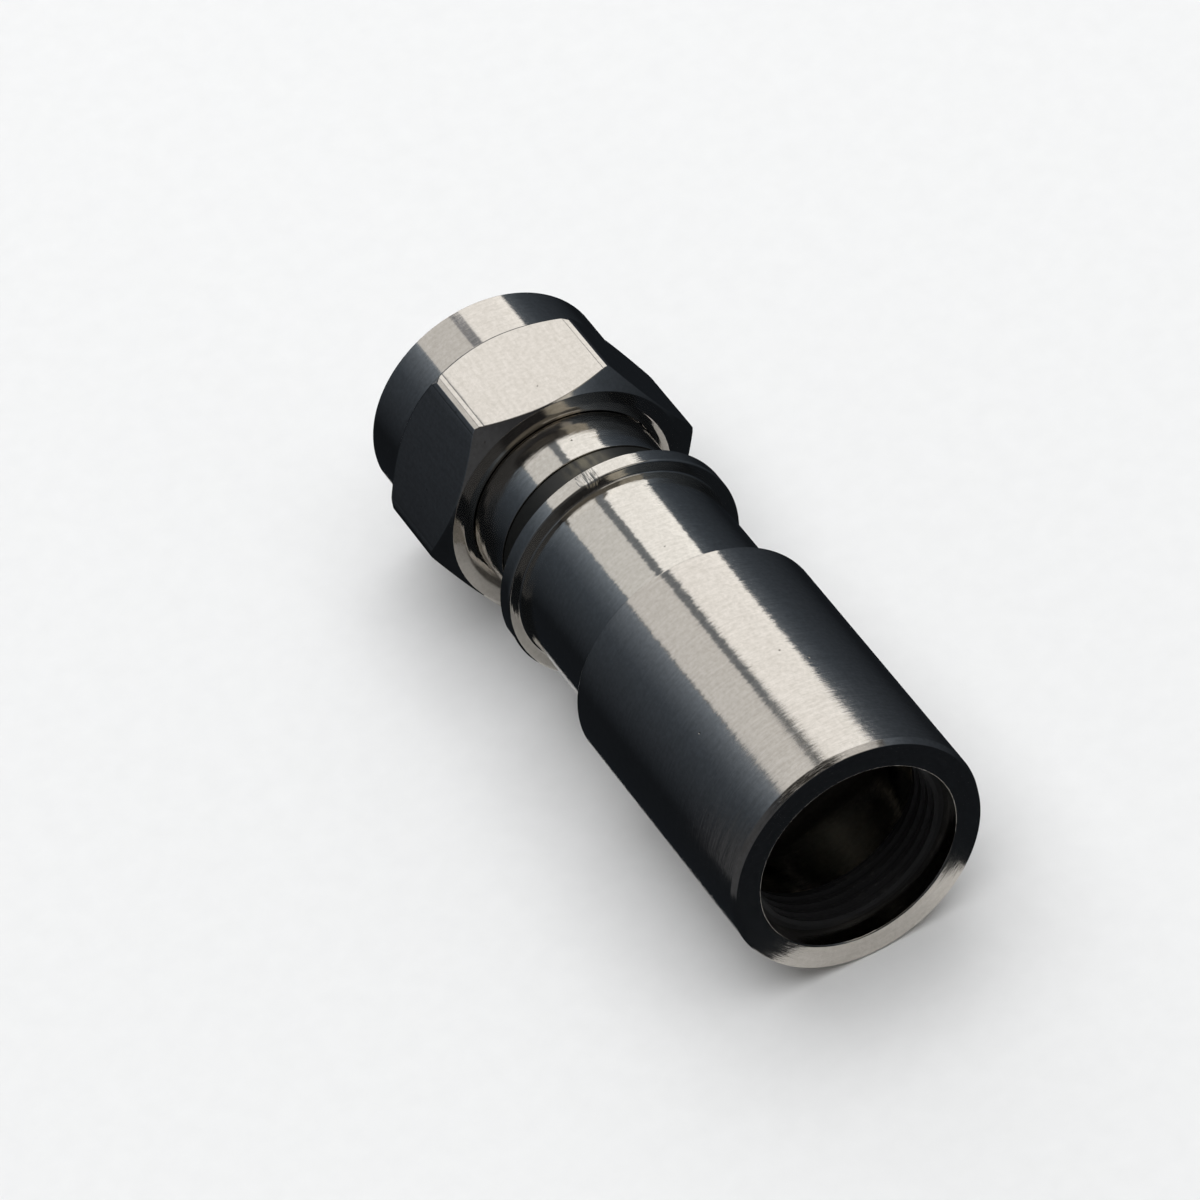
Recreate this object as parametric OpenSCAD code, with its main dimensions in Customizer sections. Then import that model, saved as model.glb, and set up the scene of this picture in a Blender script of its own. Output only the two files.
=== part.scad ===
// Compression connector for a round coaxial cable, with a swivelling hexagon nut.
// +X runs from the mating end of the nut to the open cable end, and +Z is up.
// It lies at rest on the rim of its sleeve with a flat of the nut downwards.
// The origin is on that resting plane, below the middle of its length.
// Each piece is turned about the axis and drawn as radius and station, the
// distance behind the front face of the nut.

/* [Coupling nut] */
// Hexagon across its flats
hex_flats = 11.11; // [11:0.01:11.2]
// Length of the nut
nut_length = 7.64; // [7.5:0.01:7.9]
// Diameter of the round collar in front of the hexagon
collar_diameter = 11; // [10.6:0.05:11]
// Station where the front chamfer of the hexagon meets the middle of a flat
hex_front = 2.5; // [2.2:0.05:2.9]
// Length of the chamfer on the rear corners of the hexagon
rear_chamfer_length = 0.66; // [0.4:0.01:0.9]
// Diameter of the rear face of the nut
rear_face_diameter = 11.24; // [11.2:0.01:11.4]
// Bore at the crests of the internal thread
thread_bore = 8.68; // [8.62:0.01:8.72]
// Station where the thread ends
thread_end = 3.95; // [3.8:0.05:4]
// Bore of the lip that holds the post
lip_bore = 7; // [6.9:0.05:7.1]

/* [Centre post] */
// Diameter of the post's flange
post_flange_diameter = 8.4; // [8.2:0.05:8.5]
// Thickness of the post's flange
post_flange_thickness = 0.9; // [0.8:0.05:1]
// Diameter of the shank that is pressed into the body
shank_diameter = 6.7; // [6.6:0.05:6.8]
// Bore for the core of the cable
core_bore = 4.9; // [4.7:0.05:5]
// Diameter of the thin tail
tail_diameter = 5.5; // [5.4:0.05:5.7]
// Diameter over the barbs
barb_diameter = 6.1; // [6:0.05:6.3]
// Distance between the barbs
barb_pitch = 1.5; // [1.3:0.1:1.8]
// Number of barbs
barb_count = 3; // [1:1:4]
// Distance that the tail stands out behind the barrel
tail_overhang = 1.46; // [1:0.01:2]

/* [Connector body] */
// Diameter of the neck behind the nut
neck_diameter = 8.74; // [8.7:0.01:8.76]
// Length of the neck that shows
neck_length = 2.36; // [2:0.01:2.8]
// Width of the groove behind the neck
groove_width = 1.98; // [1.6:0.01:2.2]
// Diameter of the floor of the groove
groove_diameter = 7.7; // [7.5:0.05:8]
// Diameter of the flange
flange_diameter = 10.94; // [10.6:0.01:11.2]
// Thickness of the flange
flange_thickness = 0.78; // [0.7:0.01:1]
// Outer diameter of the barrel
barrel_diameter = 9.68; // [9.6:0.01:9.7]
// Bore of the barrel
barrel_bore = 8.4; // [8.3:0.05:8.6]

/* [Compression sleeve] */
// Outer diameter of the sleeve
sleeve_diameter = 11.4; // [11.3:0.05:11.6]
// Bore of the sleeve over the barrel
sleeve_bore = 9.8; // [9.76:0.01:9.86]
// Length of the sleeve
sleeve_length = 13.68; // [13.4:0.01:14]
// Travel of the sleeve until it meets the flange
sleeve_travel = 6.6; // [6:0.1:6.8]
// Diameter of the cable hole in the rear lip
cable_hole = 8.94; // [8.8:0.01:9.1]
// Thickness of the rear lip
rear_lip = 1.1; // [0.9:0.05:1.3]
// Length of the gripping ring inside the rear lip
grip_length = 2.2; // [1.8:0.1:2.2]
// Bore of the gripping ring over its ridges
grip_bore = 8.2; // [8.1:0.05:8.4]
// Number of ridges in the gripping ring
grip_ridges = 4; // [2:1:5]

/* [Hidden] */
$fn = 96;

// Play between parts that turn or slide on each other
axial_play = 0.1;
radial_play = 0.1;
// Distance at which the pressed sleeve stops short of the flange
sleeve_stop_gap = 0.06;
// Room between the pressed gripping ring and the barrel
grip_gap = 0.16;

// Edge breaks of the turned parts
edge = 0.08;
collar_edge = 0.3;
mouth_chamfer = 0.46;
sleeve_round = 0.2;
hole_edge = 0.12;
flange_fillet = 0.22;
neck_lead = 0.1;
bore_lead = 0.25;
arc_steps = 6;

// Coupling nut
hex_corners = hex_flats / cos(30);
chamfer_over = 0.1;
relief_diameter = 9.5;
lip_thickness = 0.75;
recess_bore = neck_diameter + 2 * radial_play;
lip_front = thread_end + 1.5;
lip_back = lip_front + lip_thickness;

// Centre post
post_front = lip_front - axial_play - post_flange_thickness;
post_shoulder = lip_front - axial_play;
tail_tip_wall = 0.12;
barb_slope = 0.9;
shank_taper = 0.5;

// Connector body
neck_front = lip_back + 0.95;
groove_front = nut_length + neck_length;
flange_front = groove_front + groove_width;
flange_back = flange_front + flange_thickness;
cavity_front = flange_back - 0.36;
sleeve_front = flange_back + sleeve_stop_gap + sleeve_travel;
sleeve_back = sleeve_front + sleeve_length;
grip_back = sleeve_back - rear_lip;
grip_front = grip_back - grip_length;
barrel_back = grip_front - sleeve_travel - grip_gap;
tail_back = barrel_back + tail_overhang;
shank_back = cavity_front - shank_taper;

// Rings
grip_ridge_height = 0.15;
band_height = 0.45;
band_side_gap = 0.04;
band_round = 0.16;
seal_section = 0.9;
seal_squeeze = 0.05;

// Points of an arc about a centre, from one angle to another
function arc(centre, radius, from, to) =
    [for (i = [0:arc_steps])
        let (angle = from + (to - from) * i / arc_steps)
        centre + radius * [cos(angle), sin(angle)]];

// Lays a piece that stands on its station axis down along X
module laid_down() {
    translate([-sleeve_back / 2, 0, sleeve_diameter / 2])
        rotate([0, 90, 0]) children();
}

// Turns an outline of radius and station points about the axis
module turned(outline) {
    rotate_extrude() polygon(outline);
}

module coupling_nut() {
    collar = collar_diameter / 2;
    cone = hex_corners / 2 + chamfer_over;
    cone_front = hex_front - hex_flats / 2;
    rear = nut_length - rear_chamfer_length;
    slope = (hex_corners - rear_face_diameter) / 2 / rear_chamfer_length;
    color("silver") laid_down() difference() {
        union() {
            turned([[0, 0], [collar - collar_edge, 0], [collar, collar_edge],
                    [collar, hex_front + 1], [0, hex_front + 1]]);
            intersection() {
                rotate([0, 0, 30]) cylinder(d = hex_corners, h = nut_length, $fn = 6);
                turned([[0, cone_front + 4.5], [4.5, cone_front + 4.5],
                        [cone, cone_front + cone], [cone, rear - chamfer_over / slope],
                        [rear_face_diameter / 2, nut_length], [0, nut_length]]);
            }
        }
        turned([[0, -1], [thread_bore / 2 + mouth_chamfer, -1],
                [thread_bore / 2 + mouth_chamfer, 0],
                [thread_bore / 2, mouth_chamfer], [thread_bore / 2, thread_end],
                [relief_diameter / 2, thread_end], [relief_diameter / 2, lip_front],
                [lip_bore / 2, lip_front], [lip_bore / 2, lip_back],
                [recess_bore / 2, lip_back], [recess_bore / 2, nut_length - edge],
                [recess_bore / 2 + edge, nut_length],
                [recess_bore / 2 + edge, nut_length + 1], [0, nut_length + 1]]);
    }
}

// Outline points of one barb, which ends at the given station
function barb(end) = [
    [tail_diameter / 2, end - barb_slope],
    [barb_diameter / 2, end - barb_slope],
    [tail_diameter / 2, end]];

module center_post() {
    bore = core_bore / 2;
    flange = post_flange_diameter / 2;
    shank = shank_diameter / 2;
    tail = tail_diameter / 2;
    barbs = [for (i = [barb_count - 1:-1:0]) each barb(tail_back - edge - i * barb_pitch)];
    color("gainsboro") laid_down() turned(concat(
        [[bore + edge, post_front], [flange - edge, post_front],
         [flange, post_front + edge], [flange, post_shoulder],
         [shank, post_shoulder], [shank, shank_back], [tail, shank_back + shank_taper]],
        barbs,
        [[bore + tail_tip_wall, tail_back], [bore, tail_back], [bore, post_front + edge]]));
}

module connector_body() {
    neck = neck_diameter / 2;
    groove = groove_diameter / 2;
    flange = flange_diameter / 2;
    barrel = barrel_diameter / 2;
    press = shank_diameter / 2;
    cavity = barrel_bore / 2;
    color("silver") laid_down() turned(concat(
        [[press, neck_front], [neck - neck_lead, neck_front],
         [neck, neck_front + neck_lead], [neck, groove_front - edge],
         [neck - edge, groove_front], [groove, groove_front], [groove, flange_front],
         [flange - edge, flange_front], [flange, flange_front + edge],
         [flange, flange_back - edge], [flange - edge, flange_back]],
        arc([barrel + flange_fillet, flange_back + flange_fillet], flange_fillet, 270, 180),
        [[barrel, barrel_back - bore_lead], [barrel - edge, barrel_back],
         [cavity + bore_lead, barrel_back], [cavity, barrel_back - bore_lead],
         [cavity, cavity_front], [press, cavity_front]]));
}

module compression_sleeve() {
    outer = sleeve_diameter / 2;
    bore = sleeve_bore / 2;
    hole = cable_hole / 2;
    color("silver") laid_down() turned(concat(
        [[bore, sleeve_front + bore_lead], [bore + bore_lead, sleeve_front],
         [outer - edge, sleeve_front], [outer, sleeve_front + edge]],
        arc([outer - sleeve_round, sleeve_back - sleeve_round], sleeve_round, 0, 90),
        [[hole + hole_edge, sleeve_back], [hole, sleeve_back - hole_edge],
         [hole, grip_back], [bore, grip_back]]));
}

module grip_ring() {
    outer = sleeve_bore / 2;
    crest = grip_bore / 2;
    pitch = grip_length / grip_ridges;
    ridges = [for (i = [0:grip_ridges - 1])
        each [[crest, grip_back - (i + 0.15) * pitch],
              [crest + grip_ridge_height, grip_back - (i + 0.85) * pitch]]];
    color("whitesmoke") laid_down() turned(concat(
        [[crest + grip_ridge_height, grip_front], [outer - edge, grip_front],
         [outer, grip_front + edge], [outer, grip_back],
         [crest + grip_ridge_height, grip_back]], ridges));
}

module groove_band() {
    inner = groove_diameter / 2;
    outer = inner + band_height;
    front = groove_front + band_side_gap;
    back = flange_front - band_side_gap;
    color("dimgray") laid_down() turned(concat(
        [[inner, front]],
        arc([outer - band_round, front + band_round], band_round, -90, 0),
        arc([outer - band_round, back - band_round], band_round, 0, 90),
        [[inner, back]]));
}

module nut_seal_ring() {
    centre = shank_diameter / 2 + seal_section / 2 - seal_squeeze;
    color("dimgray") laid_down() difference() {
        rotate_extrude()
            translate([centre, neck_front - seal_section / 2 + seal_squeeze])
                circle(d = seal_section, $fn = 32);
        cylinder(d = shank_diameter, h = neck_front);
        translate([0, 0, neck_front]) cylinder(r = 2 * centre, h = seal_section);
    }
}

coupling_nut();
center_post();
connector_body();
compression_sleeve();
grip_ring();
groove_band();
nut_seal_ring();
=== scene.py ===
import math

import bmesh
import bpy
from mathutils import Matrix, Quaternion, Vector


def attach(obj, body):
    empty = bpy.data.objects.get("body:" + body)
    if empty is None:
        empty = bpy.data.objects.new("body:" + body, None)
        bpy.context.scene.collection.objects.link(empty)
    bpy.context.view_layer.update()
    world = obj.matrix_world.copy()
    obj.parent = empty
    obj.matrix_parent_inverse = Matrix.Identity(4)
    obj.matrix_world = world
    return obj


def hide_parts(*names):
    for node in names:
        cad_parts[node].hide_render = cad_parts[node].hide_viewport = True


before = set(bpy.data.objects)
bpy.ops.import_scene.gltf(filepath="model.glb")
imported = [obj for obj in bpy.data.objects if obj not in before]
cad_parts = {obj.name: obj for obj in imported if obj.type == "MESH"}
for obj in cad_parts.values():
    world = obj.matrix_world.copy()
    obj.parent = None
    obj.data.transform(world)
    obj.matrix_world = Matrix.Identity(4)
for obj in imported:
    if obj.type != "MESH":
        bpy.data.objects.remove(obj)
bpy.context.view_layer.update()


# Camera
# It looks down on the connector from behind and beside its open end, from a third of a metre,
# and leans a little, as in the photograph.
aim = Vector((-0.00431, -0.00120, 0.00411))
distance = 0.336
azimuth = math.radians(71.02)
elevation = math.radians(44.13)
lean = math.radians(-12.55)
back = Vector((
    math.sin(azimuth) * math.cos(elevation),
    -math.cos(azimuth) * math.cos(elevation),
    math.sin(elevation),
))
camera_data = bpy.data.cameras.new("photo_camera")
camera_data.lens = 240
camera_data.sensor_width = 36
camera_data.clip_start = 0.01
camera_data.clip_end = 20
camera = bpy.data.objects.new("photo_camera", camera_data)
camera.location = aim + distance * back
camera.rotation_mode = "QUATERNION"
camera.rotation_quaternion = (-back).to_track_quat("-Z", "Y") @ Quaternion((0, 0, 1), lean)
bpy.context.scene.collection.objects.link(camera)
bpy.context.scene.camera = camera
bpy.context.scene.view_settings.view_transform = "Standard"


# Floor
# A matt board, painted nearly white, on which the connector lies. It is large enough to reach
# behind the object in every view.
MM = 0.001


def linear(code):
    """A colour written as sRGB hex, in the linear values that a shader takes."""
    parts = [int(code[i:i + 2], 16) / 255 for i in (1, 3, 5)]
    return [p / 12.92 if p <= 0.04045 else ((p + 0.055) / 1.055) ** 2.4 for p in parts] + [1.0]


def add_node(tree, kind, settings=(), values=(), links=()):
    """One node: its own settings, the values of its sockets, and the outputs joined to them."""
    node = tree.nodes.new(kind)
    for name, value in dict(settings).items():
        setattr(node, name, value)
    for socket, value in dict(values).items():
        node.inputs[socket].default_value = value
    for socket, source in dict(links).items():
        tree.links.new(source, node.inputs[socket])
    return node


def new_material(name):
    """A new material, with its tree, its shader, and each point's own place on the piece."""
    material = bpy.data.materials.new(name)
    material.use_nodes = True
    tree = material.node_tree
    place = add_node(tree, "ShaderNodeTexCoord").outputs["Object"]
    return material, tree, tree.nodes["Principled BSDF"], place


def set_shades(ramp, shades):
    """Gives a colour ramp its shades (position, colour), in order along it."""
    stops = ramp.color_ramp.elements
    for stop, (position, colour) in zip(stops, (shades[0], shades[-1])):
        stop.position = position
        stop.color = linear(colour)
    for position, colour in shades[1:-1]:
        stops.new(position).color = linear(colour)


# Matt paint on board: an even pale grey with hardly any gloss, and a faint grain of about 1 mm.
# A pattern's scale is the number of its grains to a millimetre, here and below.
painted_board, tree, shader, place = new_material("matt_painted_board")
grain = add_node(tree, "ShaderNodeTexNoise", values={"Scale": 0.9 / MM, "Detail": 4},
                 links={"Vector": place})
tint = add_node(tree, "ShaderNodeValToRGB", links={"Fac": grain.outputs["Fac"]})
set_shades(tint, [(0, "#E5E6E7"), (1, "#EBECED")])
tree.links.new(tint.outputs["Color"], shader.inputs["Base Color"])
shader.inputs["Roughness"].default_value = 0.85
shader.inputs["Specular IOR Level"].default_value = 0.2

floor_half = 3
floor_mesh = bpy.data.meshes.new("floor")
floor_mesh.from_pydata(
    [(x * floor_half, y * floor_half, 0) for x, y in ((-1, -1), (1, -1), (1, 1), (-1, 1))],
    [], [(0, 1, 2, 3)],
)
floor_mesh.materials.append(painted_board)
floor = bpy.data.objects.new("floor", floor_mesh)
bpy.context.scene.collection.objects.link(floor)


# Studio light
# Two soft boxes stand beyond the nut with a narrow gap between them, so that every turned
# surface carries a dim band, a thin dark line and a bright band along its top.
world = bpy.data.worlds.new("plain_studio")
world.use_nodes = True
bpy.context.scene.world = world
tree = world.node_tree
# The room glows palely near the horizon and dimly above, with a slightly paler belt high up.
direction = add_node(tree, "ShaderNodeTexCoord")
height = add_node(tree, "ShaderNodeSeparateXYZ", links={"Vector": direction.outputs["Generated"]})
sky = add_node(tree, "ShaderNodeValToRGB", links={"Fac": height.outputs["Z"]})
set_shades(sky, [
    (0.05, "#DAD9D6"), (0.55, "#4E4E4E"), (0.75, "#565656"),
    (0.82, "#6C6A66"), (0.92, "#6C6A66"), (1.0, "#424242"),
])
tree.links.new(sky.outputs["Color"], tree.nodes["Background"].inputs["Color"])


def area_lamp(name, wide, long, radiance):
    """A lamp of wide by long metres with an even face, which the camera doesn't see."""
    lamp = bpy.data.lights.new(name, "AREA")
    lamp.shape = "RECTANGLE"
    lamp.size = wide
    lamp.size_y = long
    lamp.energy = radiance * wide * long * math.pi
    box = bpy.data.objects.new(name, lamp)
    box.visible_camera = False
    bpy.context.scene.collection.objects.link(box)
    return box


def soft_box(name, turn, wide, long, radiance, end=-1, colour=(1, 1, 1)):
    """A soft box as the turned surfaces mirror it to the camera. Its turn is the angle round the
    axis in degrees, and it stands beyond the nut, or with end 1 beyond the open end."""
    # The shares of the way to the box that lie along the axis and off it, and the way's length
    along_axis = 0.679
    off_axis = 0.734
    how_far = 0.5
    angle = math.radians(turn)
    towards = Vector((along_axis * end, off_axis * math.sin(angle), off_axis * math.cos(angle)))
    across = Vector((0, math.cos(angle), -math.sin(angle)))
    box = area_lamp(name, wide, long, radiance)
    box.data.color = colour
    box.matrix_world = Matrix((across, towards.cross(across), towards)).transposed().to_4x4()
    box.location = aim + how_far * towards


soft_box("bright_soft_box", turn=31.4, wide=0.322, long=0.60, radiance=1.04)
soft_box("dim_soft_box", turn=-16.8, wide=0.241, long=0.60, radiance=0.65)
soft_box("weak_soft_box", turn=39.7, wide=0.185, long=0.26, radiance=0.33,
         end=1, colour=(1.0, 0.97, 0.87))

# A box overhead, set off to one side, models the tops of the edges, and a larger lamp, which the
# metal doesn't mirror, lights the floor, the rubber and the plastic evenly.
overhead = 1.1
overhead_box = area_lamp("overhead_box", wide=0.7, long=0.946, radiance=0.52)
overhead_box.location = (0.0, 0.635, overhead)
overhead_fill = area_lamp("overhead_fill", wide=1.6, long=1.6, radiance=2.0)
overhead_fill.location = (0.0, 0.0, overhead)
overhead_fill.visible_glossy = False


# Painted reflections
# Black and grey cards, which glow faintly, lie and stand round the connector, out of sight but
# for the metal's reflections, where they paint the metal's dark sides. Their edges are given in
# metres: along the axis, out from it and up.
nut_end, side_split, open_end = -0.07, 0.004, 0.05
behind_sleeve = 0.0185
inner, foot, side = 0.0052, 0.016, 0.026
floor_gap, side_top = 0.0002, 0.043


def reflection_glow_paint(name, along, low, high, shades):
    """A card's painted reflection: shades (share, colour) from low to high along one axis."""
    material, tree, shader, place = new_material(name)
    material.cycles.emission_sampling = "NONE"
    tree.nodes.remove(shader)
    level = add_node(tree, "ShaderNodeSeparateXYZ", links={"Vector": place})
    share = add_node(tree, "ShaderNodeMapRange", values={"From Min": low, "From Max": high},
                     links={"Value": level.outputs[along]})
    tone = add_node(tree, "ShaderNodeValToRGB", links={"Fac": share.outputs["Result"]})
    set_shades(tone, shades)
    glow = add_node(tree, "ShaderNodeEmission", links={"Color": tone.outputs["Color"]})
    tree.links.new(glow.outputs["Emission"], tree.nodes["Material Output"].inputs["Surface"])
    return material


def add_reflection_card(paint, outline):
    """A flat card of painted reflection, which shows in reflections only and casts no shadow."""
    card_mesh = bpy.data.meshes.new("dark_reflection_card")
    card_mesh.from_pydata(outline, [], [tuple(range(len(outline)))])
    card_mesh.materials.append(paint)
    card = bpy.data.objects.new("dark_reflection_card", card_mesh)
    card.visible_camera = False
    card.visible_diffuse = False
    card.visible_shadow = False
    card.visible_transmission = False
    bpy.context.scene.collection.objects.link(card)


def lying(x_from, x_to, y_from, y_to):
    """The outline of a card that lies on the floor."""
    return [(x_from, y_from, floor_gap), (x_to, y_from, floor_gap),
            (x_to, y_to, floor_gap), (x_from, y_to, floor_gap)]


def upright(x, y_from, y_to, top):
    """The outline of a card that stands across the axis."""
    return [(x, y_from, floor_gap), (x, y_to, floor_gap), (x, y_to, top), (x, y_from, top)]


def leaning(x_from, x_to):
    """The outline of a card that stands along the axis and leans outwards, on the near side."""
    return [(x_from, -foot, floor_gap), (x_to, -foot, floor_gap),
            (x_to, -side, side_top), (x_from, -side, side_top)]


# The side cards are paler towards their upper edges, and those beyond the open end darker.
dark_reflection_card = reflection_glow_paint("dark_grey_painted_reflection", along="Z", low=0.0, high=side_top,
                       shades=[(0, "#171A1E"), (0.4, "#414851"), (1, "#808A96")])
rear_reflection_card = reflection_glow_paint("black_painted_reflection", along="Z", low=0.0, high=side_top,
                       shades=[(0, "#44464A"), (0.7, "#44464A"), (1, "#2A2B2E")])
gap_reflection_card = reflection_glow_paint("grey_painted_reflection", along="X", low=-0.046, high=-0.042,
                      shades=[(0, "#90939A"), (1, "#73787E")])

add_reflection_card(dark_reflection_card, lying(nut_end, open_end, -inner, -foot))
add_reflection_card(dark_reflection_card, leaning(nut_end, side_split))
add_reflection_card(dark_reflection_card, lying(nut_end, open_end, inner, foot))
# The upper edge of the far side card is cut to a gentle wave.
wave = (
    (0.05, 0.0305), (-0.012, 0.0299), (-0.0215, 0.0294), (-0.025, 0.0270),
    (-0.0285, 0.0256), (-0.0300, 0.0260), (-0.0322, 0.0281), (-0.07, 0.0286),
)
lean_out = 0.3226
add_reflection_card(dark_reflection_card, [(nut_end, foot, floor_gap), (open_end, foot, floor_gap),
                     *[(x, foot + lean_out * z, z) for x, z in wave]])
add_reflection_card(dark_reflection_card, lying(behind_sleeve, open_end, -inner, inner))
add_reflection_card(dark_reflection_card, upright(nut_end, y_from=-side, y_to=side, top=0.025))
add_reflection_card(rear_reflection_card, upright(open_end, y_from=-0.05, y_to=0.02, top=0.078))
add_reflection_card(rear_reflection_card, upright(open_end, y_from=0.02, y_to=0.06, top=0.022))
add_reflection_card(rear_reflection_card, leaning(side_split, open_end))
# A narrow grey card of painted reflection hangs before the gap between the two soft boxes.
gap_outline = (
    (-0.0495, -0.0004), (-0.0272, -0.0004), (-0.0260, -0.0007), (-0.0100, -0.0007),
    (-0.0100, 0.0037), (-0.0266, 0.0037), (-0.0274, 0.0047), (-0.0346, 0.0052), (-0.0495, 0.0053),
)
add_reflection_card(gap_reflection_card, [(x, y, side_top) for x, y in gap_outline])


# Coupling nut
# Turned from hexagon brass bar: a round collar, the hexagon with its corners chamfered at both
# ends, and an internal thread. It is nickel plated, and turns freely on the post's flange.
# Stations run from the nut's mating face, in millimetres along the axis.
half_length = 33.1 / 2
axis_height = 11.4 / 2
crease = math.radians(32)
# Most of a noise texture's values lie between these two.
noise_low, noise_high = 0.3, 0.7


def along_row(station):
    """Where a station lies along the row's X, in metres."""
    return (station - half_length) * MM


def on_axis(station, radius, angle):
    """The point of a turned piece, in the row frame; the angle goes from the top towards +Y."""
    return (
        along_row(station),
        radius * math.sin(angle) * MM,
        (axis_height + radius * math.cos(angle)) * MM,
    )


def eased(corners):
    """A closed outline whose corners (station, radius, easing) become small arcs. A point just
    before and just after each arc keeps the faces beside it flat."""
    steps = 5
    guard = 0.012
    nearly_straight = 1.55
    sharp_set_back = 1e-4
    outline = []
    for i, (s, r, easing) in enumerate(corners):
        here = Vector((s, r))
        before = Vector(corners[i - 1][:2]) - here
        after = Vector(corners[(i + 1) % len(corners)][:2]) - here
        u, v = before.normalized(), after.normalized()
        half = max(0.02, math.acos(max(-1, min(1, u.dot(v)))) / 2)
        bends = half < nearly_straight
        set_back = min(easing / math.tan(half), 0.45 * before.length, 0.45 * after.length)
        if easing <= 0 or not bends:
            set_back = sharp_set_back
        radius = set_back * math.tan(half)
        middle = here + (u + v).normalized() * (radius / math.sin(half)) if bends else here
        start, end = here + u * set_back, here + v * set_back
        outline.append(start + u * min(guard, 0.3 * max(before.length - set_back, 0)))
        first, last = start - middle, end - middle
        for k in range(steps + 1):
            spoke = first.lerp(last, k / steps)
            if spoke.length > 1e-9 and bends:
                outline.append(middle + spoke.normalized() * radius)
            else:
                outline.append(start.lerp(end, k / steps))
        outline.append(end + v * min(guard, 0.3 * max(after.length - set_back, 0)))
    return outline


def finished(name, mesh, merge=0.0):
    """The piece of a mesh, smooth but for its creases, with its faces turned outwards."""
    shape = bmesh.new()
    shape.from_mesh(mesh)
    if merge:
        bmesh.ops.remove_doubles(shape, verts=shape.verts, dist=merge)
    bmesh.ops.recalc_face_normals(shape, faces=shape.faces)
    shape.to_mesh(mesh)
    shape.free()
    mesh.shade_smooth()
    mesh.set_sharp_from_angle(angle=crease)
    piece = bpy.data.objects.new(name, mesh)
    bpy.context.scene.collection.objects.link(piece)
    return piece


def into_object(name, rings, material):
    """A piece from rings of points, each joined to the next and the last to the first."""
    count = len(rings)
    around = len(rings[0])
    points = [p for ring in rings for p in ring]
    faces = []
    for i in range(count):
        j = (i + 1) % count
        for k in range(around):
            m = (k + 1) % around
            faces.append((i * around + k, i * around + m, j * around + m, j * around + k))
    mesh = bpy.data.meshes.new(name)
    mesh.from_pydata(points, [], faces)
    mesh.materials.append(material)
    return finished(name, mesh, merge=0.0002 * MM)


def with_pits(tree, in_mm, normal):
    """A pit here and there, 0.05 to 0.1 mm wide: where they are, and the normal with them."""
    cells_per_mm = 1.1
    pit_rim, pit_floor = 0.065, 0.02
    cells_without = 0.6
    pit_depth = 0.012
    cells = add_node(tree, "ShaderNodeTexVoronoi", values={"Scale": cells_per_mm},
                     links={"Vector": in_mm.outputs["Vector"]})
    spot = add_node(tree, "ShaderNodeMapRange", {"interpolation_type": "SMOOTHSTEP"},
                    {"From Min": pit_rim, "From Max": pit_floor, "To Min": 0.0, "To Max": 1.0},
                    {"Value": cells.outputs["Distance"]})
    chance = add_node(tree, "ShaderNodeSeparateColor", links={"Color": cells.outputs["Color"]})
    few = add_node(tree, "ShaderNodeMath", {"operation": "GREATER_THAN"}, {1: cells_without},
                   {0: chance.outputs["Red"]})
    pits = add_node(tree, "ShaderNodeMath", {"operation": "MULTIPLY"},
                    links={0: spot.outputs["Result"], 1: few.outputs["Value"]})
    dimples = add_node(tree, "ShaderNodeBump", {"invert": True},
                       {"Strength": 1.0, "Distance": pit_depth * MM},
                       {"Height": pits.outputs["Value"], "Normal": normal})
    return pits.outputs["Value"], dimples.outputs["Normal"]


def with_chatter(tree, spoke, turned_to, normal, seed, sway):
    """The cutter's chatter: it sways each ring a little sideways, which frays the edges of what
    the ring mirrors. Its waves are an eighth of a millimetre apart along the axis."""
    around = add_node(tree, "ShaderNodeVectorMath", {"operation": "CROSS_PRODUCT"},
                      {0: (1, 0, 0)}, {1: spoke.outputs["Vector"]})
    unit = add_node(tree, "ShaderNodeVectorMath", {"operation": "NORMALIZE"},
                    links={0: around.outputs["Vector"]})
    sideways = add_node(
        tree, "ShaderNodeVectorTransform",
        {"vector_type": "VECTOR", "convert_from": "OBJECT", "convert_to": "WORLD"},
        links={0: unit.outputs["Vector"]})
    chatter_at = add_node(tree, "ShaderNodeMapping",
                          values={"Location": (seed, 0, 0), "Scale": (8, 1.0, 1.0)},
                          links={"Vector": turned_to.outputs["Vector"]})
    chatter = add_node(tree, "ShaderNodeTexNoise",
                       values={"Scale": 1.0, "Detail": 4, "Roughness": 0.85},
                       links={"Vector": chatter_at.outputs["Vector"]})
    share = add_node(tree, "ShaderNodeMapRange",
                     values={"From Min": noise_low, "From Max": noise_high,
                             "To Min": -sway, "To Max": sway},
                     links={"Value": chatter.outputs["Fac"]})
    push = add_node(tree, "ShaderNodeVectorMath", {"operation": "SCALE"},
                    links={0: sideways.outputs["Vector"], "Scale": share.outputs["Result"]})
    tilted = add_node(tree, "ShaderNodeVectorMath", {"operation": "ADD"},
                      links={0: normal, 1: push.outputs["Vector"]})
    swayed = add_node(tree, "ShaderNodeVectorMath", {"operation": "NORMALIZE"},
                      links={0: tilted.outputs["Vector"]})
    return swayed.outputs["Vector"]


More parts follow.
